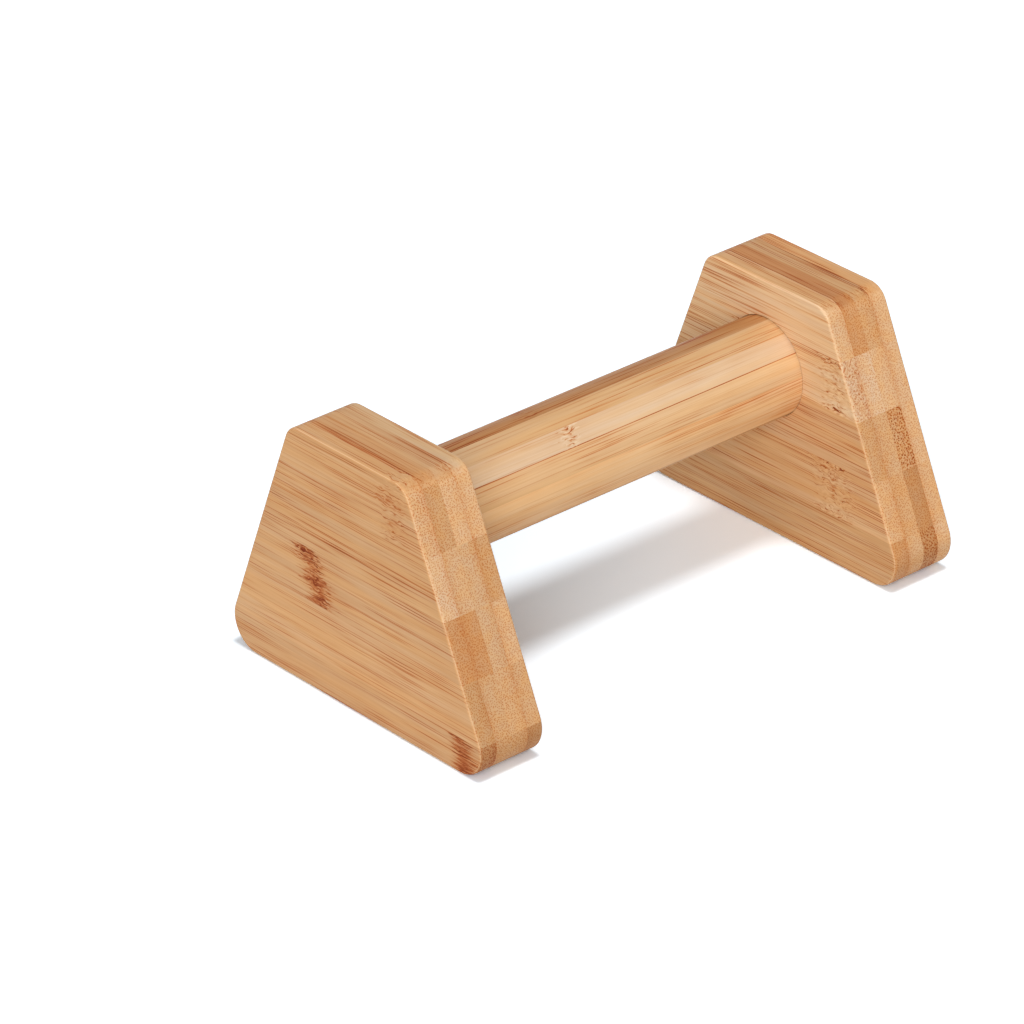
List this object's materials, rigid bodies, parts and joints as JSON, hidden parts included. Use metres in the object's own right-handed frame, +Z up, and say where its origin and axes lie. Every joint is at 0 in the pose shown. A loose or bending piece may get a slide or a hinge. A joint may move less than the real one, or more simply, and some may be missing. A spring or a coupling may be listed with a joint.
{
  "type": "parallette bar",
  "caption": "Low wooden training stand: a thick round grip bar of laminated bamboo held between two upright laminated trapezoid end blocks.",
  "frame": {"origin": "on the floor, under the middle of the bar, midway between the outer faces of the two end blocks", "axes": "+X along the bar from the left block to the right one, +Y from front to rear, +Z up"},
  "size_m": [0.23, 0.14, 0.105],
  "materials": {
    "bamboo_pale": "satin",
    "bamboo_light": "satin",
    "bamboo_medium": "satin",
    "bamboo_dark": "satin"
  },
  "bodies": {
    "root": {"left_row1_ply1": "bamboo_dark", "left_row1_ply2": "bamboo_medium", "left_row1_ply3": "bamboo_medium", "left_row1_ply4": "bamboo_dark", "left_row2_ply1": "bamboo_medium", "left_row2_ply2": "bamboo_pale", "left_row2_ply3": "bamboo_pale", "left_row2_ply4": "bamboo_light", "left_row3_ply1": "bamboo_dark", "left_row3_ply2": "bamboo_dark", "left_row3_ply3": "bamboo_pale", "left_row3_ply4": "bamboo_pale", "left_row4_ply1": "bamboo_pale", "left_row4_ply2": "bamboo_pale", "left_row4_ply3_front": "bamboo_pale", "left_row4_ply3_rear": "bamboo_pale", "left_row4_ply4_front": "bamboo_dark", "left_row4_ply4_rear": "bamboo_dark", "left_row5_ply1": "bamboo_light", "left_row5_ply2": "bamboo_dark", "left_row5_ply3": "bamboo_pale", "left_row5_ply4": "bamboo_pale", "left_row6_ply1": "bamboo_light", "left_row6_ply2": "bamboo_medium", "left_row6_ply3": "bamboo_medium", "left_row6_ply4": "bamboo_pale", "right_row1_ply1": "bamboo_pale", "right_row1_ply2": "bamboo_dark", "right_row1_ply3": "bamboo_light", "right_row1_ply4": "bamboo_medium", "right_row2_ply1": "bamboo_light", "right_row2_ply2": "bamboo_dark", "right_row2_ply3": "bamboo_medium", "right_row2_ply4": "bamboo_light", "right_row3_ply1": "bamboo_pale", "right_row3_ply2": "bamboo_dark", "right_row3_ply3": "bamboo_light", "right_row3_ply4": "bamboo_medium", "right_row4_ply1": "bamboo_pale", "right_row4_ply2": "bamboo_pale", "right_row4_ply3_front": "bamboo_pale", "right_row4_ply3_rear": "bamboo_pale", "right_row4_ply4_front": "bamboo_light", "right_row4_ply4_rear": "bamboo_light", "right_row5_ply1": "bamboo_pale", "right_row5_ply2": "bamboo_medium", "right_row5_ply3": "bamboo_dark", "right_row5_ply4": "bamboo_pale", "bar_ply1_front": "bamboo_medium", "bar_ply1_rear": "bamboo_light", "bar_ply2_front": "bamboo_light", "bar_ply2_rear": "bamboo_medium", "bar_ply3_front": "bamboo_pale", "bar_ply3_rear": "bamboo_light", "bar_ply4_front": "bamboo_light", "bar_ply4_rear": "bamboo_pale", "bar_ply5_front": "bamboo_light", "bar_ply5_rear": "bamboo_medium"}
  },
  "joints": []
}
